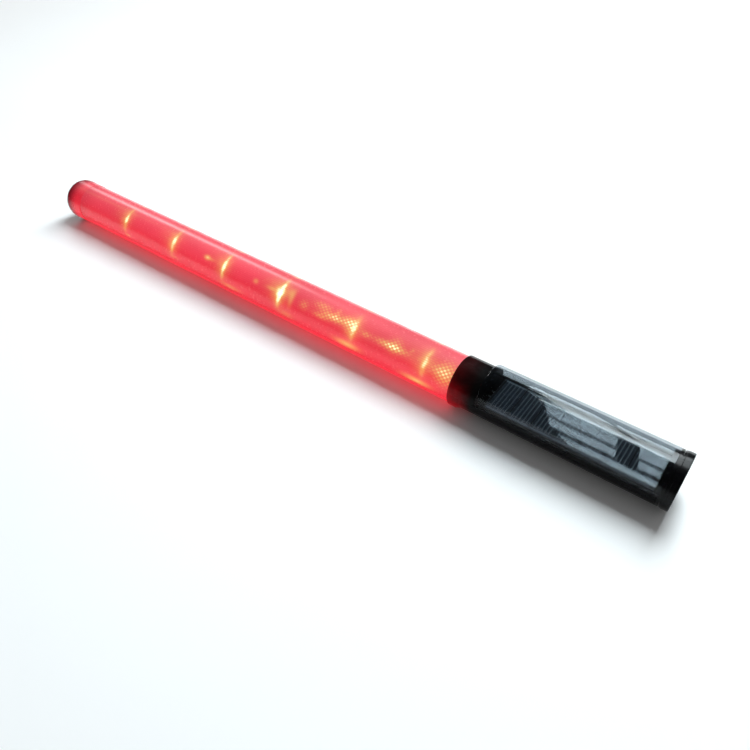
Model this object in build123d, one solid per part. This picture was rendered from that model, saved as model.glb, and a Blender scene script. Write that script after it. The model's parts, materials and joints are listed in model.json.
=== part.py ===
from build123d import *
import os
from math import cos, pi, sin, sqrt

# Solar LED traffic baton, lying on its back with the solar panel up.
# +X runs from the tip to the handle's end. Lengths along the baton are
# stations, measured from the tip. Heights are measured from the axis of the
# light tube, and write() lifts every piece so that the lowest point is z = 0.

# Driving dimensions, mm
LENGTH = 540.0
TUBE_RADIUS = 16.25
TUBE_WALL = 1.5
TIP_CAP_RADIUS = 16.85
COLLAR_RADIUS = 17.35
HANDLE_RADIUS = 17.6
HANDLE_WALL = 1.6
HANDLE_RISE = 2.6
TUBE_AXIS_Z = TIP_CAP_RADIUS
FIT = 0.05

# Stations along the baton
TIP_CAP_END = 24.0
TUBE_START = 8.5
COLLAR_FRONT = 398.5
LIP_END = 401.0
TUBE_SEAT_END = 404.5
TAPER_END = 407.5
NECK_END = 418.0
HANDLE_FRONT = 417.5
COLLAR_WALL_END = 420.5
SPIGOT_END = 431.0
HANDLE_END = 532.5
RING_FRONT = 529.5
RING_END = 534.2
CAP_FLANGE_FRONT = 534.8
CAP_RIM_FRONT = 535.6

# Light tube
RIB_COUNT = 72
RIB_HEIGHT = 0.3
NECK_RADIUS = 11.8
NECK_WALL = 1.5
NECK_SCREW_STATION = 410.0
NECK_SCREW_Y = 5.0
NECK_HEAD_SEAT_Z = -12.1
NECK_HEAD_HEIGHT = 1.2
NECK_SHANK_END_Z = -11.3
NECK_SCREW_TIP_Z = -9.6
NECK_HOLE_TOP_Z = -5.0
SEAL_STATION = 415.0
SEAL_RADIUS = 0.5
SEAL_GROOVE_HALF = 0.8

# Lights
LED_COUNT = 6
LED_PITCH = 56.7
FIRST_LED = 84.5
LED_RADIUS = 2.5
BOARD_THICKNESS = 1.6
LED_BOARD_START = 14.0
LED_BOARD_END = 407.0
LED_BOARD_WIDTH = 18.0
TIP_HOLDER_START = 15.5
COLLAR_HOLDER_START = 399.7

# Solar panel
CELL_COUNT = 7
CELL_PITCH = 14.6
CELL_LENGTH = 14.0
CELL_WIDTH = 28.8
FIRST_CELL = 424.6
PANEL_START = 423.0
PANEL_END = 529.3
PANEL_WIDTH = 30.0
FILM_WIDTH = 25.2
FILM_THICKNESS = 0.4
PANEL_Z = 2.1
PANEL_THICKNESS = 1.0
CELL_THICKNESS = 0.2

# Screws, with the holes they pass and the holes they bite in
SCREW_CORE = 1.0
SHANK_RADIUS = 1.22
SHANK_HOLE = 1.35
PILOT_HOLE = 1.05
HEAD_RADIUS = 2.2
HEAD_RECESS = 2.4

# Inner frame and its screws
FRAME_START = 432.0
FRAME_END = 529.0
FRAME_THICKNESS = 1.6
FRAME_SLOT_WIDTH = 10.0
POST_STATIONS = (437.0, 520.0)
POST_Y = 11.3
POST_FOOT_Z = -5.2
HEAD_SEAT_Z = -6.9
HEAD_HEIGHT = 1.6
POST_RADIUS = 2.2
BOSS_RADIUS = 3.3
SHELL_SCREW_TIP_Z = 0.0

# Control board and switch
BOARD_START = 433.0
BOARD_END = 461.0
BOARD_WIDTH = 16.6
BOARD_TOP_Z = -1.0
STANDOFF_STATIONS = (437.5, 458.5)
STANDOFF_Y = 6.2
STANDOFF_RADIUS = 1.5
BOARD_SCREW_SIZE = 0.75
BOARD_SCREW_TIP_Z = 0.6
SWITCH_STATION = 446.0
SWITCH_SIZE = 6.2
SWITCH_HEIGHT = 3.4
BUTTON_RADIUS = 4.6
BUTTON_FACE_Z = -16.0
BUTTON_SEAT_Z = -11.9
PLUNGER_RADIUS = 1.7
PLUNGER_FOOT_Z = -7.3

# Battery
CELL_RADIUS = 7.0
CELL_START = 479.6
CELL_END = 528.1
CELL_Z = -5.3
NUB_LENGTH = 1.5
CONTACT_THICKNESS = 0.4
STRIP_START = 464.0
STRIP_END = 529.6
STRIP_Y = 6.2
STRIP_WIDTH = 2.4
STRIP_FOOT_Z = -3.4
SPRING_GAUGE = 0.35
SPRING_TURNS = 4
CRADLE_START = 470.0
CRADLE_END = 527.0
CRADLE_WALL = 1.0
CRADLE_RADIUS = 7.95
TAB_Y = 1.5
TAB_Z = -4.2

# End cap
CAP_SPIGOT_RADIUS = 14.93
RING_BORE_RADIUS = 15.0
CAP_SPIGOT_FRONT = 529.6
CAP_HOLLOW_RADIUS = 11.8
CAP_CONTACT_RADIUS = 12.2
CAP_HOLLOW_END = LENGTH - 2.5
CAP_SEAL_STATION = 532.6
CAP_SEAL_RADIUS = 0.68
CAP_GROOVE_FLOOR = 13.5
COIN_SLOT_LENGTH = 16.0
COIN_SLOT_WIDTH = 2.2
COIN_SLOT_DEPTH = 1.0
CAP_RIM_RADIUS = 17.9
CAP_NECK_RADIUS = 17.1

WIRE_RADIUS = 0.5
LED_WIRE_Y = 2.4
WIRE_HOLE_Z = 0.88
FAR = 60.0


def at(station):
    """Return the x of a station measured from the tip."""
    return station - LENGTH / 2


def rod(start, end, radius, y=0.0, z=0.0):
    """Return a cylinder along the baton between two stations."""
    middle = (at(start) + at(end)) / 2
    return Pos(middle, y, z) * Rot(0, 90, 0) * Cylinder(radius, end - start)


def post(station, y, low, high, radius):
    """Return an upright cylinder between two heights."""
    return Pos(at(station), y, (low + high) / 2) * Cylinder(radius, high - low)


def block(start, end, y_low, y_high, low, high):
    """Return a box between two stations, two widths and two heights."""
    centre = Pos((at(start) + at(end)) / 2, (y_low + y_high) / 2, (low + high) / 2)
    return centre * Box(end - start, y_high - y_low, high - low)


def handle_rod(start, end, radius):
    """Return a cylinder about the handle's own axis, above the tube's axis."""
    return rod(start, end, radius, z=HANDLE_RISE)


def wire(points):
    """Return one insulated wire through points given as station, y, z."""
    corners = [(at(s), y, z) for s, y, z in points]
    path = FilletPolyline(*corners, radius=wire_bends(corners))
    section = Plane(origin=path @ 0, z_dir=path % 0) * Circle(WIRE_RADIUS)
    return sweep(section, path=path)


def wire_bends(corners):
    """Return a bend radius for the wire that its shortest run leaves room for."""
    runs = [(Vector(*b) - Vector(*a)).length for a, b in zip(corners, corners[1:])]
    return 0.9 * min(runs)


def screw(station, y, seat, head_height, shank_end, tip, size=1.0):
    """Return a cross-head screw that points up, with its thread as a plain core."""
    head_low = seat - head_height
    body = post(station, y, head_low, seat, HEAD_RADIUS * size)
    body += post(station, y, seat, shank_end, SHANK_RADIUS * size)
    body += post(station, y, shank_end, tip, SCREW_CORE * size)
    arm_length = 2.7 * size
    arm_width = 0.5
    for length, width in ((arm_length, arm_width), (arm_width, arm_length)):
        body -= Pos(at(station), y, head_low) * Box(length, width, head_height)
    return body


def write(name, *solids):
    """Lift the solids to their height above the ground and write one node."""
    lifted = [Pos(0, 0, TUBE_AXIS_Z) * solid for solid in solids]
    shape = lifted[0] if len(lifted) == 1 else Compound(children=lifted)
    export_step(shape, f"parts/{name}.step")


# ---------------------------------------------------------------- light tube


def tip_cap():
    """Domed cap: a shallow dome, a rounded corner and a slight taper to its lip."""
    dome, corner = 50.0, 8.0
    inner_corner, inner_radius, floor = 6.0, 14.8, 2.2
    centre_x = dome - sqrt((dome - corner) ** 2 - (TIP_CAP_RADIUS - corner) ** 2)
    slope_x = (centre_x - dome) / (dome - corner)
    slope_r = (TIP_CAP_RADIUS - corner) / (dome - corner)
    x0 = at(0)
    apex = (x0, 0)
    join = (x0 + dome * (1 + slope_x), dome * slope_r)
    crest = (x0 + centre_x, TIP_CAP_RADIUS)
    socket = TUBE_RADIUS + FIT
    shelf = at(TUBE_START) - FIT
    outline = TangentArc(apex, join, tangent=(0, 1))
    outline += TangentArc(join, crest, tangent=(slope_r, -slope_x))
    outline += Polyline(
        crest,
        (at(TIP_CAP_END), TUBE_RADIUS + 0.25),
        (at(TIP_CAP_END), socket),
        (shelf, socket),
        (shelf, inner_radius),
        (x0 + floor + inner_corner, inner_radius),
    )
    inner_end = (x0 + floor, inner_radius - inner_corner)
    inner_start = (x0 + floor + inner_corner, inner_radius)
    outline += TangentArc(inner_start, inner_end, tangent=(-1, 0))
    outline += Polyline(inner_end, (x0 + floor, 0), apex)
    return revolve(Plane.XZ * make_face(outline), axis=Axis.X)


def ribbed_bore(start, end):
    """Prism that cuts the tube's bore with its fine longitudinal ribs."""
    valley = TUBE_RADIUS - TUBE_WALL
    crest = valley - RIB_HEIGHT
    points = []
    for step in range(2 * RIB_COUNT):
        radius = crest if step % 2 else valley
        angle = pi * step / RIB_COUNT
        points.append((radius * cos(angle), radius * sin(angle)))
    face = make_face(Polyline(*points, close=True))
    return extrude(Plane.YZ.offset(at(start)) * face, amount=end - start)


def light_tube():
    """Red tube with internal ribs and a narrower neck for the collar."""
    tube = rod(TUBE_START, TUBE_SEAT_END, TUBE_RADIUS)
    tube += rod(TUBE_SEAT_END, NECK_END, NECK_RADIUS)
    tube -= ribbed_bore(TUBE_START, TUBE_SEAT_END - TUBE_WALL)
    tube -= rod(TUBE_SEAT_END - TUBE_WALL - 1, NECK_END, NECK_RADIUS - NECK_WALL)
    for side in (-1, 1):
        y = side * NECK_SCREW_Y
        tube -= post(NECK_SCREW_STATION, y, -FAR, NECK_HOLE_TOP_Z, PILOT_HOLE)
    return tube


def led_board():
    half = LED_BOARD_WIDTH / 2
    return block(LED_BOARD_START, LED_BOARD_END, -half, half, -0.8, 0.8)


def led(station, side):
    """One 5 mm light with its flange, on the upper (1) or lower (-1) face."""
    foot = BOARD_THICKNESS / 2
    body = post(station, 0, foot, foot + 1.0, LED_RADIUS + 0.4)
    body += post(station, 0, foot + 1.0, foot + 3.6, LED_RADIUS)
    body += Pos(at(station), 0, foot + 3.6) * Sphere(LED_RADIUS)
    return body if side > 0 else Rot(180, 0, 0) * body


def led_stations(side):
    """Stations of the lights, the lower face's set half a pitch along."""
    shift = 0 if side > 0 else LED_PITCH / 2
    return [FIRST_LED + shift + LED_PITCH * i for i in range(LED_COUNT)]


def led_row(side):
    return [led(station, side) for station in led_stations(side)]


def led_resistors():
    """A chip resistor beside each light, on the same face."""
    chips = []
    for side in (1, -1):
        low, high = sorted((side * 0.8, side * 1.4))
        for station in led_stations(side):
            start = station - 9.0
            chips.append(block(start, start + 3.2, -0.8, 0.8, low, high))
    return chips


def board_holder(start, thickness):
    """Disc that centres the long board in the tube, with two wide windows."""
    disc = rod(start, start + thickness, TUBE_RADIUS - TUBE_WALL - RIB_HEIGHT - FIT)
    half = LED_BOARD_WIDTH / 2 + FIT
    disc -= block(start, start + thickness, -half, half, -0.8 - FIT, 0.8 + FIT)
    for side in (-1, 1):
        disc -= rod(start, start + thickness, 3.6, z=side * 7.4)
    return disc


# -------------------------------------------------------------------- collar


def collar_limit():
    """Space that the collar may fill: a taper down to the handle's cylinder."""
    wide = COLLAR_RADIUS + HANDLE_RISE + 0.5
    taper = Cone(wide, HANDLE_RADIUS, TAPER_END - LIP_END)
    middle = (at(LIP_END) + at(TAPER_END)) / 2
    limit = handle_rod(COLLAR_FRONT, LIP_END, wide)
    limit += Pos(middle, 0, HANDLE_RISE) * Rot(0, 90, 0) * taper
    return limit + handle_rod(TAPER_END, SPIGOT_END, HANDLE_RADIUS)


def collar():
    """Round collar with the tube's seat, an end wall and a spigot inside the handle."""
    spigot_radius = HANDLE_RADIUS - HANDLE_WALL - FIT
    top_end = HANDLE_FRONT + HANDLE_WALL
    lip = rod(COLLAR_FRONT, SPIGOT_END, COLLAR_RADIUS)
    front_edge = lip.edges().filter_by(GeomType.CIRCLE).sort_by(Axis.X)[0]
    body = fillet(front_edge, 1.0) & collar_limit()
    under = block(HANDLE_FRONT, SPIGOT_END, -FAR, FAR, -FAR, HANDLE_RISE)
    body -= under - handle_rod(HANDLE_FRONT, SPIGOT_END, spigot_radius)
    over = block(top_end, SPIGOT_END, -FAR, FAR, HANDLE_RISE - 1, FAR)
    body -= over - handle_rod(top_end, SPIGOT_END, spigot_radius)
    body -= block(COLLAR_WALL_END, SPIGOT_END, -FAR, FAR, PANEL_Z - 0.2, FAR)
    body -= rod(COLLAR_FRONT, TUBE_SEAT_END + FIT, TUBE_RADIUS + FIT)
    body -= rod(COLLAR_FRONT, NECK_END + 0.1, NECK_RADIUS + 0.1)
    body -= rod(COLLAR_WALL_END, SPIGOT_END, NECK_RADIUS + 0.1)
    for y in (-LED_WIRE_Y, LED_WIRE_Y):
        body -= rod(NECK_END, COLLAR_WALL_END, 0.9, y, WIRE_HOLE_Z)
    groove = (SEAL_STATION - SEAL_GROOVE_HALF, SEAL_STATION + SEAL_GROOVE_HALF)
    body -= rod(*groove, NECK_RADIUS + 2 * SEAL_RADIUS + 0.1)
    body -= block(COLLAR_FRONT, SPIGOT_END, -FAR, FAR, -FAR, -TUBE_AXIS_Z)
    for side in (-1, 1):
        y = side * NECK_SCREW_Y
        body -= post(NECK_SCREW_STATION, y, -FAR, NECK_HEAD_SEAT_Z, HEAD_RECESS)
        body -= post(NECK_SCREW_STATION, y, -FAR, NECK_HOLE_TOP_Z, SHANK_HOLE)
    return body


def neck_seal():
    ring = Torus(NECK_RADIUS + SEAL_RADIUS + FIT, SEAL_RADIUS)
    return Pos(at(SEAL_STATION), 0, 0) * Rot(0, 90, 0) * ring


def neck_screws():
    heights = (NECK_HEAD_SEAT_Z, NECK_HEAD_HEIGHT, NECK_SHANK_END_Z, NECK_SCREW_TIP_Z)
    return [screw(NECK_SCREW_STATION, y, *heights) for y in (-NECK_SCREW_Y, NECK_SCREW_Y)]


# -------------------------------------------------------------------- handle


def upper_half():
    return block(COLLAR_FRONT, LENGTH + 5, -FAR, FAR, HANDLE_RISE, FAR)


def lower_half():
    return block(COLLAR_FRONT, LENGTH + 5, -FAR, FAR, -FAR, HANDLE_RISE)


def window_cover():
    """Clear half shell with a rounded shoulder and a bead along its lower edge."""
    outside = handle_rod(HANDLE_FRONT, HANDLE_END, HANDLE_RADIUS)
    shoulder = outside.edges().filter_by(GeomType.CIRCLE).sort_by(Axis.X)[0]
    cover = fillet(shoulder, 2.5)
    bead = handle_rod(HANDLE_FRONT + 2.5, HANDLE_END, HANDLE_RADIUS + 0.2)
    cover += bead & block(HANDLE_FRONT, HANDLE_END, -FAR, FAR, HANDLE_RISE, HANDLE_RISE + 0.7)
    cover -= handle_rod(HANDLE_FRONT + HANDLE_WALL, HANDLE_END, HANDLE_RADIUS - HANDLE_WALL)
    cover -= rod(HANDLE_FRONT, HANDLE_FRONT + HANDLE_WALL, COLLAR_RADIUS + FIT)
    return cover & upper_half()


def rear_shell():
    """Black half shell with four screw bosses and the push button's seat."""
    outside = handle_rod(HANDLE_FRONT, HANDLE_END, HANDLE_RADIUS)
    shell = outside - handle_rod(HANDLE_FRONT, HANDLE_END, HANDLE_RADIUS - HANDLE_WALL)
    shell &= lower_half()
    pads = post(SWITCH_STATION, 0, -FAR, BUTTON_SEAT_Z, BUTTON_RADIUS + 2.2)
    for station in POST_STATIONS:
        for side in (-1, 1):
            pads += post(station, side * POST_Y, -FAR, POST_FOOT_Z, BOSS_RADIUS)
    shell += pads & outside
    shell -= post(SWITCH_STATION, 0, -FAR, 0, BUTTON_RADIUS + 0.1)
    for station in POST_STATIONS:
        for side in (-1, 1):
            shell -= post(station, side * POST_Y, -FAR, HEAD_SEAT_Z, HEAD_RECESS)
            shell -= post(station, side * POST_Y, -FAR, POST_FOOT_Z + 1, SHANK_HOLE)
    return shell


def shell_screws():
    heights = (HEAD_SEAT_Z, HEAD_HEIGHT, POST_FOOT_Z, SHELL_SCREW_TIP_Z)
    places = [(station, y) for station in POST_STATIONS for y in (-POST_Y, POST_Y)]
    return [screw(station, y, *heights) for station, y in places]


def inner_frame():
    """Tray under the panel with a slot for the battery, posts and standoffs."""
    low = PANEL_Z - FRAME_THICKNESS
    frame = block(FRAME_START, FRAME_END, -15.3, 15.3, low, PANEL_Z)
    slot = FRAME_SLOT_WIDTH / 2
    frame -= block(BOARD_END + 1, FRAME_END, -slot, slot, low, PANEL_Z)
    for side in (-1, 1):
        for station in POST_STATIONS:
            frame += post(station, side * POST_Y, POST_FOOT_Z, low, POST_RADIUS)
            frame -= post(station, side * POST_Y, POST_FOOT_Z, SHELL_SCREW_TIP_Z + 0.4, PILOT_HOLE)
        for station in STANDOFF_STATIONS:
            frame += post(station, side * STANDOFF_Y, BOARD_TOP_Z, low, STANDOFF_RADIUS)
            frame -= post(station, side * STANDOFF_Y, BOARD_TOP_Z, BOARD_SCREW_TIP_Z + 0.2, 0.8)
    return frame


# --------------------------------------------------------------- solar panel


def panel_base():
    half = PANEL_WIDTH / 2
    return block(PANEL_START, PANEL_END, -half, half, PANEL_Z, PANEL_Z + PANEL_THICKNESS)


def solar_cells():
    """Seven cells in a row on the panel's base."""
    low = PANEL_Z + PANEL_THICKNESS
    half = CELL_WIDTH / 2
    cells = []
    for index in range(CELL_COUNT):
        start = FIRST_CELL + CELL_PITCH * index
        cells.append(block(start, start + CELL_LENGTH, -half, half, low, low + CELL_THICKNESS))
    return cells


def panel_film():
    """Clear laminate over the middle of the cells and down between them."""
    low = PANEL_Z + PANEL_THICKNESS
    half = FILM_WIDTH / 2
    end = PANEL_END - 0.3
    film = block(FIRST_CELL - 1, end, -half, half, low, low + FILM_THICKNESS)
    for cell in solar_cells():
        film -= cell
    return film


def panel_wires():
    return [
        wire(((425, y, 1.55), (428.5, y, 1.55), (431.5, y, -0.45), (435, y, -0.45)))
        for y in (-4.1, 4.1)
    ]


# ------------------------------------------------------- circuit and switch


def control_board():
    half = BOARD_WIDTH / 2
    low = BOARD_TOP_Z - BOARD_THICKNESS
    board = block(BOARD_START, BOARD_END, -half, half, low, BOARD_TOP_Z)
    for station in STANDOFF_STATIONS:
        for side in (-1, 1):
            board -= post(station, side * STANDOFF_Y, low, BOARD_TOP_Z, 1.0)
    return board


def board_parts():
    """Charge chip, inductor, capacitor and chip parts under the board."""
    top = BOARD_TOP_Z - BOARD_THICKNESS
    parts = [
        block(450.4, 455.0, -5.2, -1.0, top - 1.5, top),
        post(453.5, 2.8, top - 2.6, top, 2.4),
        post(439.8, 0, top - 5.0, top, 2.0),
    ]
    for index in range(3):
        start = 434.2 + 1.4 * index
        parts.append(block(start, start + 0.8, -3.4, -2.0, top - 0.5, top))
    return parts


def board_screws():
    seat = BOARD_TOP_Z - BOARD_THICKNESS
    heights = (seat, 1.2, BOARD_TOP_Z, BOARD_SCREW_TIP_Z)
    places = [(station, y) for station in STANDOFF_STATIONS for y in (-STANDOFF_Y, STANDOFF_Y)]
    return [screw(station, y, *heights, size=BOARD_SCREW_SIZE) for station, y in places]


def tact_switch():
    """Square switch body with the plunger's bore, under the board."""
    top = BOARD_TOP_Z - BOARD_THICKNESS
    low = top - SWITCH_HEIGHT
    half = SWITCH_SIZE / 2
    body = block(SWITCH_STATION - half, SWITCH_STATION + half, -half, half, low, top)
    return body - post(SWITCH_STATION, 0, low, top - 0.4, PLUNGER_RADIUS + FIT)


def switch_plunger():
    return post(SWITCH_STATION, 0, PLUNGER_FOOT_Z, -4.6, PLUNGER_RADIUS)


def switch_button():
    """Push button with a retaining flange inside and a stem to the plunger."""
    face = post(SWITCH_STATION, 0, BUTTON_FACE_Z, BUTTON_SEAT_Z + FIT, BUTTON_RADIUS)
    face = fillet(face.edges().filter_by(GeomType.CIRCLE).sort_by(Axis.Z)[0], 0.8)
    flange = post(SWITCH_STATION, 0, BUTTON_SEAT_Z + FIT, BUTTON_SEAT_Z + 1.0, BUTTON_RADIUS + 1.4)
    stem = post(SWITCH_STATION, 0, BUTTON_SEAT_Z + 1.0, PLUNGER_FOOT_Z, 2.2)
    return face + flange + stem


def led_wires():
    return [
        wire(((438, y, -0.45), (430, y, -0.45), (415, y, 1.35), (404, y, 1.35)))
        for y in (-LED_WIRE_Y, LED_WIRE_Y)
    ]


# ------------------------------------------------------------------- battery


def battery_rod(start, end, radius):
    return rod(start, end, radius, z=CELL_Z)


def battery_cell():
    """Rechargeable cell with the crimp groove near its positive end."""
    groove = (CELL_END - 3.0, CELL_END - 2.0)
    ring = battery_rod(*groove, CELL_RADIUS + 1) - battery_rod(*groove, CELL_RADIUS - 0.3)
    return battery_rod(CELL_START, CELL_END, CELL_RADIUS) - ring


def battery_plus_cap():
    return battery_rod(CELL_END, CELL_END + NUB_LENGTH, 2.6)


def battery_cradle():
    """Trough that the cell slides into from the rear, with a wall at its front."""
    trough = battery_rod(CRADLE_START, CRADLE_END, CRADLE_RADIUS)
    trough -= battery_rod(CRADLE_START, CRADLE_END, CELL_RADIUS + 0.1)
    trough -= block(CRADLE_START, CRADLE_END, -FAR, FAR, -2.0, FAR)
    front = (CRADLE_START, CRADLE_START + CRADLE_WALL)
    wall = battery_rod(*front, CELL_RADIUS + 0.1)
    wall -= block(*front, -FAR, FAR, 1.5, FAR)
    wall -= rod(*front, 0.75, TAB_Y, TAB_Z)
    return trough + wall


def minus_contact():
    """Contact plate with a solder tab through the cradle's front wall."""
    inner = CRADLE_START + CRADLE_WALL
    plate = battery_rod(inner, inner + CONTACT_THICKNESS, 5.0)
    return plate + rod(CRADLE_START - 0.2, inner, 0.7, TAB_Y, TAB_Z)


def battery_spring():
    """Compressed coil between the front contact plate and the cell's flat end."""
    start = CRADLE_START + CRADLE_WALL + CONTACT_THICKNESS + SPRING_GAUGE
    length = CELL_START - SPRING_GAUGE - start
    path = Helix(pitch=length / SPRING_TURNS, height=length, radius=3.8)
    section = Plane(origin=path @ 0, z_dir=path % 0) * Circle(SPRING_GAUGE)
    coil = sweep(section, path=path)
    return Pos(at(start), 0, CELL_Z) * Rot(0, 90, 0) * coil


def side_contact():
    """Strip under the frame that carries the positive side from the screw cap."""
    top = PANEL_Z - FRAME_THICKNESS
    sides = (STRIP_Y, STRIP_Y + STRIP_WIDTH)
    strip = block(STRIP_START, STRIP_END, *sides, top - CONTACT_THICKNESS, top)
    return strip + block(STRIP_END - CONTACT_THICKNESS, STRIP_END, *sides, STRIP_FOOT_Z, top)


def cap_contact():
    """Disc in the screw cap that joins the cell's nub to the side strip."""
    start = CAP_SPIGOT_FRONT + FIT
    return handle_rod(start, start + CONTACT_THICKNESS, CAP_CONTACT_RADIUS)


def cell_wires():
    minus = (
        (CRADLE_START - 0.5, TAB_Y, TAB_Z),
        (CRADLE_START - 3.5, TAB_Y, -3.0),
        (462.4, TAB_Y, -0.45),
        (457, TAB_Y, -0.45),
    )
    plus = ((463.3, 7.0, -0.4), (461.8, 4.2, -0.45), (457, 3.4, -0.45))
    return [wire(minus), wire(plus)]


# ------------------------------------------------------------------- end cap


def thread_ring():
    """Ring fixed in the end of the two half shells, bored for the cap."""
    ring = handle_rod(RING_FRONT, HANDLE_END, HANDLE_RADIUS - HANDLE_WALL - FIT)
    ring += handle_rod(HANDLE_END, RING_END, HANDLE_RADIUS)
    return ring - handle_rod(RING_FRONT, RING_END, RING_BORE_RADIUS)


def end_cap():
    """Screw cap with a hollow spigot, a narrow groove and a wider rim."""
    rim = handle_rod(CAP_RIM_FRONT, LENGTH, CAP_RIM_RADIUS)
    rim = fillet(rim.edges().filter_by(GeomType.CIRCLE), 0.5)
    cap = rim + handle_rod(CAP_FLANGE_FRONT, CAP_RIM_FRONT + 1, HANDLE_RADIUS)
    cap += handle_rod(RING_END + FIT, CAP_FLANGE_FRONT + 1, CAP_NECK_RADIUS)
    cap += handle_rod(CAP_SPIGOT_FRONT, CAP_FLANGE_FRONT, CAP_SPIGOT_RADIUS)
    cap -= handle_rod(CAP_SPIGOT_FRONT, CAP_HOLLOW_END, CAP_HOLLOW_RADIUS)
    recess_end = CAP_SPIGOT_FRONT + CONTACT_THICKNESS + 2 * FIT
    cap -= handle_rod(CAP_SPIGOT_FRONT, recess_end, CAP_CONTACT_RADIUS + FIT)
    groove = (CAP_SEAL_STATION - 0.8, CAP_SEAL_STATION + 0.8)
    cap -= handle_rod(*groove, CAP_SPIGOT_RADIUS + 1) - handle_rod(*groove, CAP_GROOVE_FLOOR)
    slot = Box(2 * COIN_SLOT_DEPTH, COIN_SLOT_LENGTH, COIN_SLOT_WIDTH)
    return cap - Pos(at(LENGTH), 0, HANDLE_RISE) * slot


def end_cap_seal():
    ring = Torus(CAP_GROOVE_FLOOR + CAP_SEAL_RADIUS + 0.04, CAP_SEAL_RADIUS)
    return Pos(at(CAP_SEAL_STATION), 0, HANDLE_RISE) * Rot(0, 90, 0) * ring


os.makedirs("parts", exist_ok=True)
write("tip_cap", tip_cap())
write("light_tube", light_tube())
write("led_board", led_board())
write("front_leds", *led_row(1))
write("back_leds", *led_row(-1))
write("led_resistors", *led_resistors())
write("tip_board_holder", board_holder(TIP_HOLDER_START, 4.0))
write("collar_board_holder", board_holder(COLLAR_HOLDER_START, 3.2))
write("collar", collar())
write("neck_seal", neck_seal())
write("neck_screws", *neck_screws())
write("window_cover", window_cover())
write("rear_shell", rear_shell())
write("shell_screws", *shell_screws())
write("inner_frame", inner_frame())
write("panel_base", panel_base())
write("solar_cells", *solar_cells())
write("panel_film", panel_film())
write("panel_wires", *panel_wires())
write("control_board", control_board())
write("board_parts", *board_parts())
write("board_screws", *board_screws())
write("tact_switch", tact_switch())
write("switch_plunger", switch_plunger())
write("switch_button", switch_button())
write("led_wires", *led_wires())
write("battery_cell", battery_cell())
write("battery_plus_cap", battery_plus_cap())
write("battery_cradle", battery_cradle())
write("minus_contact", minus_contact())
write("battery_spring", battery_spring())
write("side_contact", side_contact())
write("cap_contact", cap_contact())
write("cell_wires", *cell_wires())
write("thread_ring", thread_ring())
write("end_cap", end_cap())
write("end_cap_seal", end_cap_seal())
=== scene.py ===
import json
import math

import bmesh
import bpy
from mathutils import Matrix, Vector


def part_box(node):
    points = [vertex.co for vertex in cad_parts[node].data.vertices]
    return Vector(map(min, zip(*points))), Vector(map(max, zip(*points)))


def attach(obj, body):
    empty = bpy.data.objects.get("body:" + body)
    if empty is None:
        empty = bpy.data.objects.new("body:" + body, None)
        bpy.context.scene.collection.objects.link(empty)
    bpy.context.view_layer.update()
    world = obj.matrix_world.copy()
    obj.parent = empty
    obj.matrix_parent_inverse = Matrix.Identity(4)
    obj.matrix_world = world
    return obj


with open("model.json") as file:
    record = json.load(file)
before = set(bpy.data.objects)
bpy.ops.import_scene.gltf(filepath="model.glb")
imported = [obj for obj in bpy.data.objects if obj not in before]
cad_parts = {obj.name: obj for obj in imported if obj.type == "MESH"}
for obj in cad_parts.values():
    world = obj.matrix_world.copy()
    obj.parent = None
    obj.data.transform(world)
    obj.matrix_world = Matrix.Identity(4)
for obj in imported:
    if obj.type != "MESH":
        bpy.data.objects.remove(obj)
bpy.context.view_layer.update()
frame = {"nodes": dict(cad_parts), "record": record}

MM = 0.001


# ------------------------------------------------------------------ measures


def middle(node):
    """The middle of a node's box."""
    low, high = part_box(node)
    return (low + high) / 2


TIP_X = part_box("tip_cap")[0].x
TUBE_AXIS_Z = middle("light_tube").z
TUBE_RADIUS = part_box("light_tube")[1].y
HANDLE_AXIS_Z = middle("end_cap").z
RIB_COUNT = 72


def at(station):
    """The x of a station given in mm from the baton's tip."""
    return TIP_X + station * MM


# --------------------------------------------------------------- node writing


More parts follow.
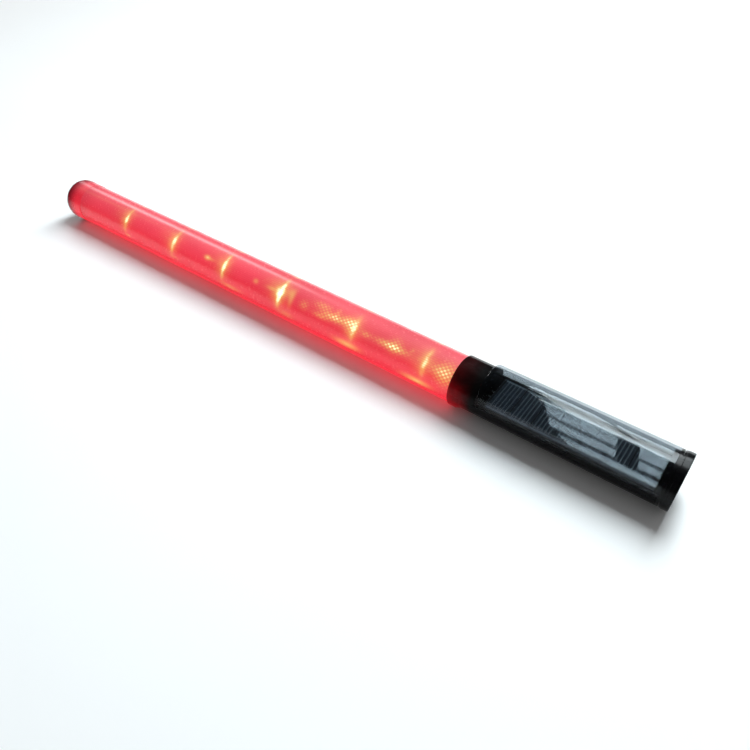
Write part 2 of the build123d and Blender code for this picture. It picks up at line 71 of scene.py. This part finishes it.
class Nodes:
    """A short way to write the node tree of one material."""

    def __init__(self, name):
        self.material = bpy.data.materials.new(name)
        self.material.use_nodes = True
        self.tree = self.material.node_tree
        self.tree.nodes.clear()
        self.output = self.add("ShaderNodeOutputMaterial")

    def add(self, kind, **settings):
        node = self.tree.nodes.new(kind)
        for name, value in settings.items():
            setattr(node, name, value)
        return node

    def feed(self, socket, value):
        if isinstance(value, bpy.types.NodeSocket):
            self.tree.links.new(value, socket)
        else:
            socket.default_value = value

    def math(self, operation, *values):
        node = self.add("ShaderNodeMath", operation=operation)
        for socket, value in zip(node.inputs, values):
            self.feed(socket, value)
        return node.outputs[0]

    def vector(self, operation, *values):
        node = self.add("ShaderNodeVectorMath", operation=operation)
        for socket, value in zip(node.inputs, values):
            self.feed(socket, value)
        return node.outputs["Value" if operation == "DOT_PRODUCT" else "Vector"]

    def place(self):
        return self.add("ShaderNodeTexCoord").outputs["Object"]

    def split(self, vector):
        node = self.add("ShaderNodeSeparateXYZ")
        self.feed(node.inputs[0], vector)
        return node.outputs

    def join(self, x, y, z):
        node = self.add("ShaderNodeCombineXYZ")
        for socket, value in zip(node.inputs, (x, y, z)):
            self.feed(socket, value)
        return node.outputs[0]

    def noise(self, where, scale, detail=3.0, stretch=(1, 1, 1)):
        node = self.add("ShaderNodeTexNoise")
        self.feed(node.inputs["Vector"], self.vector("MULTIPLY", where, stretch))
        node.inputs["Scale"].default_value = scale
        node.inputs["Detail"].default_value = detail
        return node.outputs["Fac"]

    def spread(self, value, low, high, to_low, to_high):
        """Map a value from one range to another, held at the ends."""
        node = self.add("ShaderNodeMapRange", interpolation_type="SMOOTHSTEP")
        for socket, given in zip(node.inputs, (value, low, high, to_low, to_high)):
            self.feed(socket, given)
        return node.outputs["Result"]

    def mix(self, factor, first, second):
        node = self.add("ShaderNodeMix", data_type="RGBA")
        self.feed(node.inputs["Factor"], factor)
        self.feed(node.inputs["A"], colour(first))
        self.feed(node.inputs["B"], colour(second))
        return node.outputs["Result"]

    def bump(self, height, strength, distance):
        node = self.add("ShaderNodeBump")
        node.inputs["Strength"].default_value = strength
        node.inputs["Distance"].default_value = distance
        self.feed(node.inputs["Height"], height)
        return node.outputs["Normal"]

    def principled(self, **inputs):
        node = self.add("ShaderNodeBsdfPrincipled")
        for name, value in inputs.items():
            self.feed(node.inputs[name.replace("_", " ")], colour(value))
        return node.outputs["BSDF"]

    def finish(self, shader):
        self.tree.links.new(shader, self.output.inputs["Surface"])
        return self.material


def colour(value):
    """Give a colour of three numbers its alpha, and pass anything else on."""
    if isinstance(value, tuple) and len(value) == 3:
        return (*value, 1.0)
    return value


# ------------------------------------------------------------------ materials

# Bump distance of fine grain, and how much paler a worn patch of plastic is.
GRAIN_DEPTH = 0.02 * MM
WEAR = 0.12
WEAR_HAZE = 0.0024


def moulded(name, base, rough, gloss=0.5):
    """Moulded plastic: uneven gloss, faint flow marks and a fine surface grain."""
    n = Nodes(name)
    where = n.place()
    flow = n.noise(where, 60, 4, (0.25, 1, 1))
    fine = n.noise(where, 900, 3)
    worn = tuple(min(1.0, c * (1 + WEAR) + WEAR_HAZE) for c in base)
    base_mix = n.mix(n.spread(flow, 0.35, 0.7, 0, 1), base, worn)
    roughness = n.math("ADD", n.spread(flow, 0.3, 0.7, rough * 0.75, rough * 1.2),
                       n.math("MULTIPLY", fine, rough * 0.25))
    bump = n.bump(n.math("ADD", fine, n.math("MULTIPLY", flow, 2.0)), 0.25, GRAIN_DEPTH)
    shader = n.principled(Base_Color=base_mix, Roughness=roughness, Normal=bump)
    shader.node.inputs["Specular IOR Level"].default_value = gloss
    return n.finish(shader)


def metal(name, base, rough):
    """Plated metal with fine brushed streaks and duller patches."""
    n = Nodes(name)
    where = n.place()
    streak = n.noise(where, 700, 4, (0.15, 1, 1))
    patch = n.noise(where, 150, 3)
    tint = n.mix(patch, tuple(c * 0.75 for c in base), base)
    roughness = n.spread(streak, 0.3, 0.7, rough * 0.7, rough * 1.4)
    bump = n.bump(streak, 0.2, GRAIN_DEPTH)
    return n.finish(n.principled(Base_Color=tint, Metallic=1.0, Roughness=roughness, Normal=bump))


# How much of a clear surface's light is mirrored at its very edge, how blurred
# that mirror is, and how deep its slow waves are.
EDGE_MIRROR = 0.3
MIRROR_BLUR = 0.02
WAVE_DEPTH = 0.05 * MM


def mirror_share(n, floor):
    """How much a clear surface mirrors: little head on, more at a grazing angle."""
    weight = n.add("ShaderNodeLayerWeight")
    weight.inputs["Blend"].default_value = 0.5
    steep = n.math("POWER", weight.outputs["Facing"], 5.0)
    return n.math("MULTIPLY_ADD", steep, (1 - floor) * EDGE_MIRROR, floor)


def clear_sheet(name, tint, mirror, haze, haze_colour, ripple=0.1):
    """Clear plastic: a tinted view through, a sharp reflection and a little haze."""
    n = Nodes(name)
    where = n.place()
    through = n.add("ShaderNodeBsdfTransparent")
    through.inputs["Color"].default_value = colour(tint)
    dull = n.add("ShaderNodeBsdfDiffuse")
    dull.inputs["Color"].default_value = colour(haze_colour)
    gloss = n.add("ShaderNodeBsdfGlossy")
    wave = n.noise(where, 45, 2)
    gloss.inputs["Roughness"].default_value = MIRROR_BLUR
    n.feed(gloss.inputs["Normal"], n.bump(wave, ripple, WAVE_DEPTH))
    dusty = n.add("ShaderNodeMixShader")
    n.feed(dusty.inputs[0], n.spread(n.noise(where, 130, 5), 0.3, 0.8, haze * 0.5, haze * 1.6))
    n.feed(dusty.inputs[1], through.outputs[0])
    n.feed(dusty.inputs[2], dull.outputs[0])
    mixed = n.add("ShaderNodeMixShader")
    n.feed(mixed.inputs[0], mirror_share(n, mirror))
    n.feed(mixed.inputs[1], dusty.outputs[0])
    n.feed(mixed.inputs[2], gloss.outputs[0])
    return n.finish(mixed.outputs[0])


# The tube's glow colour by its place: pinker near the handle from the first of FAR_STATIONS on,
# a painted reflection, paler, along the top out to its width round the tube, and painted
# shade, a deeper red, low on the sides over its range round the tube.
FAR_LIGHT = (0.78, 0.085, 0.100)
FAR_STATIONS = (240, 330)
# Painted reflection along the top line: its colour, share at the top and width round the tube.
TOP_PAINTED_SHEEN = (0.80, 0.15, 0.18)
TOP_SHEEN_SHARE = 0.75
TOP_SHEEN_WIDTH = 13 * MM
# Painted shade low on the sides: its colour and where round the tube it takes over.
LOW_PAINTED_SHADE = (0.78, 0.022, 0.040)
LOW_SHADE_RANGE = (11 * MM, 22 * MM)

# What a light adds to the red: yellow first, then white above HOT_START.
WARM_LIGHT = (0.16, 0.62, 0.10)
HOT_LIGHT = (0.4, 0.7, 0.75)
HOT_START = 0.55

# The ribs comb the lights and stripe the red a little; beads are ribs crossed by rings.
RIB_COMB = 0.12
RIB_STRIPE = 0.035
BEAD_PITCH = 1.8 * MM
BEAD_STRENGTH = 0.75

# The lights seen in the tube: station, place round the tube from its top line,
# half length, half width round the tube (all mm) and strength.
ARC_PLACE = 11.9
TOP_SHIFT = 3.5 * MM
ARC_STATIONS = (84.5, 142.0, 198.0, 254.5, 321.0, 378.0)
ARC_STRENGTHS = (0.62, 0.72, 0.78, 1.25, 0.5, 0.62)
SPOTS = (
    (179.5, 11.9, 2.6, 1.7, 0.55),
    (182.5, 12.0, 4.5, 1.2, 0.22),
    (230.5, 12.2, 2.2, 1.7, 0.3),
    (246.0, 12.0, 4.0, 1.4, 0.3),
    (262.5, 9.0, 3.0, 3.5, 0.3),
    (265.0, 12.2, 2.0, 6.0, 0.3),
    (60.0, 5.5, 60.0, 1.2, 0.05),
)
BEADED_SPOTS = (
    (292.0, 7.5, 7.0, 2.6, 0.5),
    (303.0, 11.5, 9.0, 2.2, 1.05),
    (304.5, 8.0, 2.0, 3.5, 0.45),
    (315.0, 9.5, 6.0, 3.0, 0.75),
    (319.0, 12.0, 4.0, 5.0, 0.7),
    (293.0, 14.5, 6.0, 1.6, 0.5),
    (277.0, 12.5, 3.5, 3.0, 0.35),
    (331.0, 12.4, 3.5, 1.8, 0.45),
    (352.0, 12.2, 10.0, 2.0, 1.15),
    (354.0, 10.5, 4.5, 4.5, 0.55),
    (366.5, 9.0, 1.2, 1.5, 0.3),
    (388.0, 13.0, 5.0, 3.2, 0.5),
    (394.0, 12.8, 6.0, 6.5, 1.0),
)
LOW_STREAKS = (
    (88.0, 25.0, 3.0, 1.0, 0.3),
    (145.0, 24.0, 5.0, 0.8, 0.2),
    (206.0, 26.0, 9.0, 1.8, 0.35),
    (262.0, 25.5, 6.0, 2.6, 0.32),
    (318.0, 25.5, 9.0, 2.2, 0.55),
    (375.0, 27.0, 9.0, 2.0, 0.6),
)


def arc_spots():
    """Each light: a line round the tube, a bright core and a soft halo."""
    spots = []
    for station, strength in zip(ARC_STATIONS, ARC_STRENGTHS):
        for shift in (-6.5, 0.0, 6.0):
            spots.append((station, ARC_PLACE + shift, 1.6, 4.2, strength * 0.5))
        spots.append((station, ARC_PLACE + 0.4, 1.3 + 0.9 * strength, 3.2, strength * 0.75))
        spots.append((station - 0.6, ARC_PLACE, 5.2, 8.5, strength * 0.42))
        spots.append((station - 5.0, ARC_PLACE - 3.5, 11.0, 7.0, strength * 0.12))
    return spots


def glow(n, plan, spots):
    """Sum of soft spots over a plan of (station, way round) in metres."""
    total = 0.0
    for station, place, half_length, half_width, strength in spots:
        offset = n.vector("SUBTRACT", plan, (at(station), place * MM, 0))
        scaled = n.vector("MULTIPLY", offset, (1 / (half_length * MM), 1 / (half_width * MM), 0))
        fall = n.math("MULTIPLY", n.vector("DOT_PRODUCT", scaled, scaled), -1.0)
        total = n.math("MULTIPLY_ADD", n.math("EXPONENT", fall), strength, total)
    return total


def tube_plan(n, where):
    """Station, way round from the top line on either side, and the angle itself."""
    x, y, z = n.split(where)
    angle = n.math("ARCTAN2", n.math("SUBTRACT", z, TUBE_AXIS_Z), y)
    turn = n.math("SUBTRACT", angle, math.pi / 2)
    arc = n.math("MULTIPLY", n.math("WRAP", turn, math.pi, -math.pi), TUBE_RADIUS)
    way = n.math("SUBTRACT", n.math("ABSOLUTE", n.math("ADD", arc, TOP_SHIFT)), TOP_SHIFT)
    return n.join(x, way, 0), angle, x


def tube_red(name, base_light, dark_tip, gloss):
    """Clear red plastic lit from inside, with the lights drawn out by its ribs.

    dark_tip is the two stations between which it brightens, and the share it starts at.
    """
    n = Nodes(name)
    where = n.place()
    plan, angle, x = tube_plan(n, where)
    ripple = n.math("COSINE", n.math("MULTIPLY", angle, float(RIB_COUNT)))
    rows = n.math("COSINE", n.math("MULTIPLY", angle, RIB_COUNT / 2))
    rings = n.math("COSINE", n.math("MULTIPLY", x, math.pi / BEAD_PITCH))
    beads = n.spread(n.math("MULTIPLY", rows, rings), -0.6, 0.8, 0.4, 1.1)
    cloud = n.noise(where, 28, 4, (0.6, 1.4, 1.4))
    uneven = n.spread(n.noise(where, 260, 2), 0.3, 0.7, 0.75, 1.2)
    combed = n.math("MULTIPLY_ADD", ripple, RIB_COMB, uneven)
    arcs = n.math("MULTIPLY", glow(n, plan, arc_spots()), combed)
    lit = n.math("ADD", arcs, glow(n, plan, SPOTS))
    beaded = n.math("MULTIPLY", glow(n, plan, BEADED_SPOTS),
                    n.math("MULTIPLY", beads, BEAD_STRENGTH))
    streaks = n.math("MULTIPLY", glow(n, plan, LOW_STREAKS),
                     n.spread(cloud, 0.3, 0.6, 0.3, 1.1))
    warm = n.math("ADD", n.math("ADD", lit, beaded), streaks)
    hot = n.math("MAXIMUM", n.math("SUBTRACT", warm, HOT_START), 0.0)
    even = n.math("MULTIPLY_ADD", ripple, RIB_STRIPE, n.spread(cloud, 0.25, 0.75, 0.93, 1.07))
    far = n.spread(x, at(FAR_STATIONS[0]), at(FAR_STATIONS[1]), 0, 1)
    side_colour = n.mix(far, base_light, FAR_LIGHT)
    way = n.split(plan)[1]
    # Painted reflection: paler along the top line; then painted shade: deeper red low on the sides.
    sheen_painted_colour = n.mix(n.spread(way, 0, TOP_SHEEN_WIDTH, TOP_SHEEN_SHARE, 0), side_colour, TOP_PAINTED_SHEEN)
    shade_painted_colour = n.mix(n.spread(way, *LOW_SHADE_RANGE, 0, 1), sheen_painted_colour, LOW_PAINTED_SHADE)
    body = n.vector("MULTIPLY", shade_painted_colour, n.join(even, even, even))
    body = n.vector("ADD", body, n.vector("MULTIPLY", n.join(warm, warm, warm), WARM_LIGHT))
    body = n.vector("ADD", body, n.vector("MULTIPLY", n.join(hot, hot, hot), HOT_LIGHT))
    dark_station, bright_station, dark_share = dark_tip
    shade = n.spread(x, at(dark_station), at(bright_station), dark_share, 1.0)
    light = n.vector("MULTIPLY", body, n.join(shade, shade, shade))
    fine = n.noise(where, 500, 3)
    plastic = n.mix(n.spread(cloud, 0.3, 0.7, 0, 1), (0.12, 0.004, 0.010), (0.16, 0.006, 0.014))
    shader = n.principled(
        Base_Color=plastic,
        Roughness=n.spread(fine, 0.3, 0.7, 0.21, 0.28),
        Emission_Color=light,
        Normal=n.bump(n.math("MULTIPLY_ADD", ripple, 0.5, fine), 0.05, 0.03 * MM),
    )
    shader.node.inputs["Emission Strength"].default_value = 1.0
    shader.node.inputs["Specular IOR Level"].default_value = gloss
    return n.finish(shader)


# Painted glow: the stations and colour of the tube's red light painted on the collar's lower front.
RED_GLOW_STATIONS = (398, 416)
PAINTED_RED_GLOW = (0.30, 0.002, 0.006)


def collar_black():
    """Glossy black with a painted dark red glow at its front, standing in for the tube's light."""
    n = Nodes("collar_black")
    where = n.place()
    x, _, z = n.split(where)
    flow = n.noise(where, 90, 4)
    near = n.spread(x, at(RED_GLOW_STATIONS[0]), at(RED_GLOW_STATIONS[1]), 1.0, 0.0)
    low = n.spread(z, TUBE_AXIS_Z * 1.1, TUBE_AXIS_Z * 1.8, 1.0, 0.1)
    # Painted glow mask: strongest at the collar's front and low down, broken up by the flow noise.
    painted_red_glow = n.math("MULTIPLY", n.math("MULTIPLY", near, low), n.spread(flow, 0.3, 0.7, 0.5, 1.2))
    shader = n.principled(
        Base_Color=n.mix(flow, (0.002, 0.002, 0.002), (0.004, 0.0035, 0.0035)),
        Roughness=n.spread(flow, 0.3, 0.7, 0.16, 0.26),
        Emission_Color=n.mix(painted_red_glow, (0.0, 0.0, 0.0), PAINTED_RED_GLOW),
        Normal=n.bump(n.noise(where, 700, 3), 0.15, GRAIN_DEPTH),
    )
    shader.node.inputs["Emission Strength"].default_value = 1.0
    shader.node.inputs["Specular IOR Level"].default_value = 0.06
    return n.finish(shader)


def silicon():
    """Solar cell: dark blue-black with a fine crystal grain."""
    n = Nodes("cell_silicon")
    where = n.place()
    grain = n.add("ShaderNodeTexVoronoi", feature="F1")
    n.feed(grain.inputs["Vector"], where)
    grain.inputs["Scale"].default_value = 420
    tone = n.spread(n.split(grain.outputs["Color"])[0], 0, 1, 0, 1)
    shader = n.principled(
        Base_Color=n.mix(tone, (0.034, 0.042, 0.056), (0.050, 0.062, 0.082)),
        Roughness=n.spread(tone, 0, 1, 0.45, 0.6),
        Normal=n.bump(n.noise(where, 1200, 2), 0.2, 0.01 * MM),
    )
    shader.node.inputs["Specular IOR Level"].default_value = 0.15
    return n.finish(shader)


def printed_silver():
    """Dull silver lines printed on the cells."""
    n = Nodes("printed_silver")
    where = n.place()
    grain = n.noise(where, 2500, 3)
    shader = n.principled(
        Base_Color=n.mix(grain, (0.085, 0.10, 0.115), (0.13, 0.15, 0.17)),
        Roughness=n.spread(grain, 0.3, 0.7, 0.5, 0.65),
    )
    shader.node.inputs["Specular IOR Level"].default_value = 0.15
    return n.finish(shader)


def circuit_board(name, base, line):
    """Solder mask with faint tracks under it."""
    n = Nodes(name)
    where = n.place()
    brick = n.add("ShaderNodeTexBrick")
    n.feed(brick.inputs["Vector"], n.vector("MULTIPLY", where, (1, 2.2, 1)))
    for key, value in (("Color1", base), ("Color2", base), ("Mortar", line)):
        brick.inputs[key].default_value = colour(value)
    brick.inputs["Scale"].default_value = 90
    brick.inputs["Mortar Size"].default_value = 0.012
    rough = n.spread(n.noise(where, 300, 3), 0.3, 0.7, 0.35, 0.5)
    return n.finish(n.principled(Base_Color=brick.outputs["Color"], Roughness=rough))


LENS_STRENGTH = 3.0


def glowing_lens():
    """Red lens of a light that is on."""
    n = Nodes("led_red")
    where = n.place()
    cloud = n.noise(where, 400, 2)
    shader = n.principled(
        Base_Color=n.mix(cloud, (0.7, 0.02, 0.02), (0.9, 0.06, 0.04)),
        Roughness=n.spread(cloud, 0.3, 0.7, 0.08, 0.15),
        Emission_Color=n.mix(cloud, (1.0, 0.22, 0.08), (1.0, 0.4, 0.15)),
    )
    shader.node.inputs["Emission Strength"].default_value = LENS_STRENGTH
    return n.finish(shader)


def rubber(name, base):
    """Soft rubber: dull, with a fine grain and paler worn patches."""
    n = Nodes(name)
    where = n.place()
    patch = n.noise(where, 160, 4)
    tint = n.mix(n.spread(patch, 0.4, 0.75, 0, 1), base, tuple(c * 1.5 + 0.004 for c in base))
    rough = n.spread(patch, 0.3, 0.7, 0.5, 0.68)
    return n.finish(n.principled(Base_Color=tint, Roughness=rough,
                                 Normal=n.bump(n.noise(where, 1500, 3), 0.3, 0.03 * MM)))


BLACK = (0.0025, 0.0025, 0.003)
MATERIALS = {
    "tube_red": tube_red("tube_red", (0.78, 0.056, 0.086), (14, 45, 0.75), 0.5),
    "tip_red": tube_red("tip_red", (0.66, 0.024, 0.042), (5, 20, 0.03), 0.3),
    "collar_black": collar_black(),
    "shell_black": moulded("shell_black", BLACK, 0.24, gloss=0.04),
    "ring_black": moulded("ring_black", BLACK, 0.2, gloss=0.14),
    "cap_black": moulded("cap_black", BLACK, 0.18, gloss=0.12),
    "frame_black": moulded("frame_black", (0.012, 0.012, 0.013), 0.5),
    "part_black": moulded("part_black", (0.02, 0.02, 0.022), 0.45),
    "holder_white": moulded("holder_white", (0.75, 0.74, 0.7), 0.45),
    "plunger_white": moulded("plunger_white", (0.7, 0.7, 0.68), 0.4),
    "panel_board": moulded("panel_board", (0.005, 0.006, 0.008), 0.5, gloss=0.2),
    "cell_can": moulded("cell_can", (0.03, 0.12, 0.42), 0.3),
    "wire_insulation": rubber("wire_insulation", (0.012, 0.012, 0.013)),
    "seal_rubber": rubber("seal_rubber", (0.012, 0.012, 0.012)),
    "button_black": rubber("button_black", (0.02, 0.02, 0.021)),
    "screw_steel": metal("screw_steel", (0.52, 0.52, 0.54), 0.35),
    "contact_steel": metal("contact_steel", (0.68, 0.66, 0.6), 0.3),
    "cell_silicon": silicon(),
    "board_green": circuit_board("board_green", (0.012, 0.10, 0.035), (0.03, 0.17, 0.06)),
    "board_white": circuit_board("board_white", (0.78, 0.78, 0.74), (0.6, 0.6, 0.56)),
    "led_red": glowing_lens(),
    "cover_smoke": clear_sheet("cover_smoke", (0.66, 0.69, 0.71), 0.0185, 0.010,
                               (0.2, 0.22, 0.24)),
    "film_clear": clear_sheet("film_clear", (0.96, 0.97, 0.98), 0.082, 0.01,
                              (0.3, 0.33, 0.36), 0.04),
}


def dress_nodes():
    """Give every CAD node the material of its slot."""
    for part in frame["record"]["subparts"]:
        node = frame["nodes"][part["node"]]
        node.data.materials.clear()
        node.data.materials.append(MATERIALS[part["material_slot"]])


# -------------------------------------------------------------- solar fingers


def bar(mesh, low, high):
    """Add one box between two corners to a mesh."""
    size = Vector(high) - Vector(low)
    centre = (Vector(high) + Vector(low)) / 2
    scale = Matrix.Diagonal((*size, 1.0))
    bmesh.ops.create_cube(mesh, size=1.0, matrix=Matrix.Translation(centre) @ scale)


CELL_COUNT = 7
CELL_PITCH = 14.6 * MM
FINGERS_PER_CELL = 5
FIRST_FINGER = 2.1 * MM
FINGER_PITCH = 2.4 * MM
FINGER_WIDTH = 0.8 * MM
FINGER_HEIGHT = 0.05 * MM
FINGER_MARGIN = 0.3 * MM
BUSBAR_WIDTH = 0.8 * MM
BUSBAR_HEIGHT = 0.04 * MM
BUSBAR_MARGIN = 0.2 * MM
BUSBAR_SHARE = 0.93


def cell_fingers():
    """Silver contact lines printed on the cells, with two busbars a cell."""
    low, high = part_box("solar_cells")
    length = high.x - low.x - CELL_PITCH * (CELL_COUNT - 1)
    top = high.z
    mesh = bmesh.new()
    for cell in range(CELL_COUNT):
        start = low.x + CELL_PITCH * cell
        for finger in range(FINGERS_PER_CELL):
            x = start + FIRST_FINGER + FINGER_PITCH * finger
            bar(mesh, (x - FINGER_WIDTH / 2, low.y + FINGER_MARGIN, top),
                (x + FINGER_WIDTH / 2, high.y - FINGER_MARGIN, top + FINGER_HEIGHT))
        for y in (low.y * BUSBAR_SHARE, high.y * BUSBAR_SHARE):
            bar(mesh, (start + BUSBAR_MARGIN, y - BUSBAR_WIDTH / 2, top),
                (start + length - BUSBAR_MARGIN, y + BUSBAR_WIDTH / 2, top + BUSBAR_HEIGHT))
    data = bpy.data.meshes.new("cell_fingers")
    mesh.to_mesh(data)
    mesh.free()
    piece = bpy.data.objects.new("cell_fingers", data)
    bpy.context.scene.collection.objects.link(piece)
    data.materials.append(printed_silver())
    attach(piece, "baton")


# --------------------------------------------------------------------- studio


# Softboxes and cards stand on a vault round the handle's axis. Angles are in degrees
# up from +Y, spans are from low x to high x in metres.
LIGHT_REACH = 1.2
FLAG_REACH = 0.985 * LIGHT_REACH
PANEL_ANGLE = 46.7
WINDOW_ANGLES = (32, 78)
WINDOW_SPAN = (-0.11, 0.31)
WINDOW_POWER = 54.0
WINDOW_TINT = (0.88, 0.97, 1.0)
STREAK_ANGLES = (40, 57)
STREAK_SPAN = (-1.81, -0.8)
STREAK_POWER = 16.0
CARD_SPAN = (-0.2, 0.34)

FILL_POWER = 58.0
FILL_SIZE = 9.0
FILL_HEIGHT = 1.5
WALL_LIGHT = 1.15
CEILING_LIGHT = 0.10
CEILING_START = 0.7
FLOOR_HALF = 8.0

CAMERA_LENS = 31.68
CAMERA_SENSOR = 36.0
CAMERA_PLACE = (0.2645, -0.2771, 0.3140)
CAMERA_AIM = (-0.4269, 0.5794, -0.6943)


def softbox(name, angles, span, power_per_m2, tint=(1, 1, 1)):
    """Area light on the vault, facing the handle's axis."""
    low_angle, high_angle = angles
    low_x, high_x = span
    angle = math.radians((low_angle + high_angle) / 2)
    height = 2 * LIGHT_REACH * math.tan(math.radians(high_angle - low_angle) / 2)
    width = high_x - low_x
    data = bpy.data.lights.new(name, "AREA")
    data.shape = "RECTANGLE"
    data.size, data.size_y = width, height
    data.energy = power_per_m2 * width * height
    data.color = tint
    light = bpy.data.objects.new(name, data)
    outward = Vector((0, math.cos(angle), math.sin(angle)))
    axis = Vector(((low_x + high_x) / 2, 0, HANDLE_AXIS_Z))
    light.location = axis + outward * LIGHT_REACH
    light.rotation_mode = "QUATERNION"
    across = Vector((1, 0, 0))
    turned = Matrix((across, outward.cross(across), outward)).transposed()
    light.rotation_quaternion = turned.to_quaternion()
    light.visible_camera = False
    bpy.context.scene.collection.objects.link(light)


def vault_point(x, angle, offset=0.0):
    """A point of the vault that the cards stand on, offset in metres round it."""
    turn = math.radians(angle) + offset / FLAG_REACH
    return Vector((x, math.cos(turn) * FLAG_REACH, HANDLE_AXIS_Z + math.sin(turn) * FLAG_REACH))


def flag(name, corners, through=0.01):
    """Dark card just in front of the softboxes, out of the camera's sight."""
    data = bpy.data.meshes.new(name)
    data.from_pydata([vault_point(*corner) for corner in corners], [], [range(len(corners))])
    card = bpy.data.objects.new(name, data)
    bpy.context.scene.collection.objects.link(card)
    n = Nodes(name)
    cloth = n.add("ShaderNodeBsdfTransparent")
    cloth.inputs["Color"].default_value = colour((through, through, through))
    data.materials.append(n.finish(cloth.outputs[0]))
    card.visible_camera = False
    card.visible_diffuse = False
    card.visible_shadow = False


def panel_flag(name, corners, through=0.01):
    """Card placed by x and by millimetres round the vault from the panel's own view."""
    flag(name, [(x, PANEL_ANGLE, offset * MM) for x, offset in corners], through)


def window_flags():
    """Window bars, posts and a curtain edge that the solar panel mirrors."""
    left, right = CARD_SPAN
    panel_flag("bar_thin", ((-0.05, -7.4), (right, -7.4), (right, 0.6), (-0.05, 0.6)), 0.3)
    panel_flag("bar_thick", ((-0.03, 15.6), (right, 15.6), (right, 24.0), (-0.03, 24.0)))
    panel_flag("post", ((0.126, -31), (0.178, -31), (0.196, 18), (0.144, 18)))
    panel_flag("curtain_top", ((left, -34), (-0.058, -34), (-0.028, 0), (left, 0)))
    panel_flag("curtain_mid", ((left, 0), (-0.028, 0), (-0.02, 18), (left, 18)))
    panel_flag("curtain_low", ((left, 18), (-0.012, 18), (0.049, 40), (left, 40)))
    panel_flag("sill", ((left, 38), (right, 38), (right, 64), (left, 64)))
    flag("gable", ((left, 30), (-0.125, 30.6), (0.018, 73.2), (left, 82)))
    flag("awning_low", ((0.060, 24), (0.100, 24), (0.138, 44.5), (0.108, 44.5)), 0.1)
    flag("awning_high", ((0.114, 48.9), (0.146, 48.9), (0.170, 62), (0.148, 64)), 0.1)


def floor():
    """Plain pale floor."""
    data = bpy.data.meshes.new("floor")
    corners = [(x * FLOOR_HALF, y * FLOOR_HALF, 0) for x, y in ((-1, -1), (1, -1), (1, 1), (-1, 1))]
    data.from_pydata(corners, [], [(0, 1, 2, 3)])
    ground = bpy.data.objects.new("floor", data)
    bpy.context.scene.collection.objects.link(ground)
    n = Nodes("floor_pale")
    shade = n.spread(n.noise(n.place(), 3, 2), 0.3, 0.7, 0.0, 1.0)
    data.materials.append(n.finish(n.principled(
        Base_Color=n.mix(shade, (0.90, 0.90, 0.90), (0.92, 0.92, 0.92)), Roughness=0.9)))


def world_light():
    """Bright walls round the table under a dark ceiling."""
    world = bpy.data.worlds.new("studio")
    world.use_nodes = True
    tree = world.node_tree
    split = tree.nodes.new("ShaderNodeSeparateXYZ")
    tree.links.new(tree.nodes.new("ShaderNodeTexCoord").outputs["Generated"], split.inputs[0])
    height = tree.nodes.new("ShaderNodeMapRange")
    height.interpolation_type = "SMOOTHSTEP"
    for socket, value in zip(height.inputs[1:5], (0.0, CEILING_START, WALL_LIGHT, CEILING_LIGHT)):
        socket.default_value = value
    tree.links.new(split.outputs["Z"], height.inputs[0])
    tree.links.new(height.outputs["Result"], tree.nodes["Background"].inputs["Strength"])
    bpy.context.scene.world = world


def fill_light():
    """Wide overhead light for the floor, not seen in reflections."""
    data = bpy.data.lights.new("fill_light", "AREA")
    data.size = FILL_SIZE
    data.energy = FILL_POWER
    light = bpy.data.objects.new("fill_light", data)
    light.location = (0, 0, FILL_HEIGHT)
    light.visible_camera = False
    light.visible_glossy = False
    bpy.context.scene.collection.objects.link(light)


def studio():
    """Floor, walls, the two softboxes, the fill light and the cards."""
    floor()
    world_light()
    softbox("window_light", WINDOW_ANGLES, WINDOW_SPAN, WINDOW_POWER, WINDOW_TINT)
    softbox("streak_light", STREAK_ANGLES, STREAK_SPAN, STREAK_POWER)
    fill_light()
    window_flags()


def camera():
    """Camera at the viewing angle of the reference view."""
    data = bpy.data.cameras.new("camera")
    data.lens = CAMERA_LENS
    data.sensor_width = CAMERA_SENSOR
    data.clip_start = 0.01
    eye = bpy.data.objects.new("camera", data)
    eye.location = CAMERA_PLACE
    eye.rotation_mode = "QUATERNION"
    eye.rotation_quaternion = Vector(CAMERA_AIM).to_track_quat("-Z", "Y")
    bpy.context.scene.collection.objects.link(eye)
    bpy.context.scene.camera = eye


dress_nodes()
cell_fingers()
studio()
camera()
bpy.context.scene.view_settings.view_transform = "Standard"
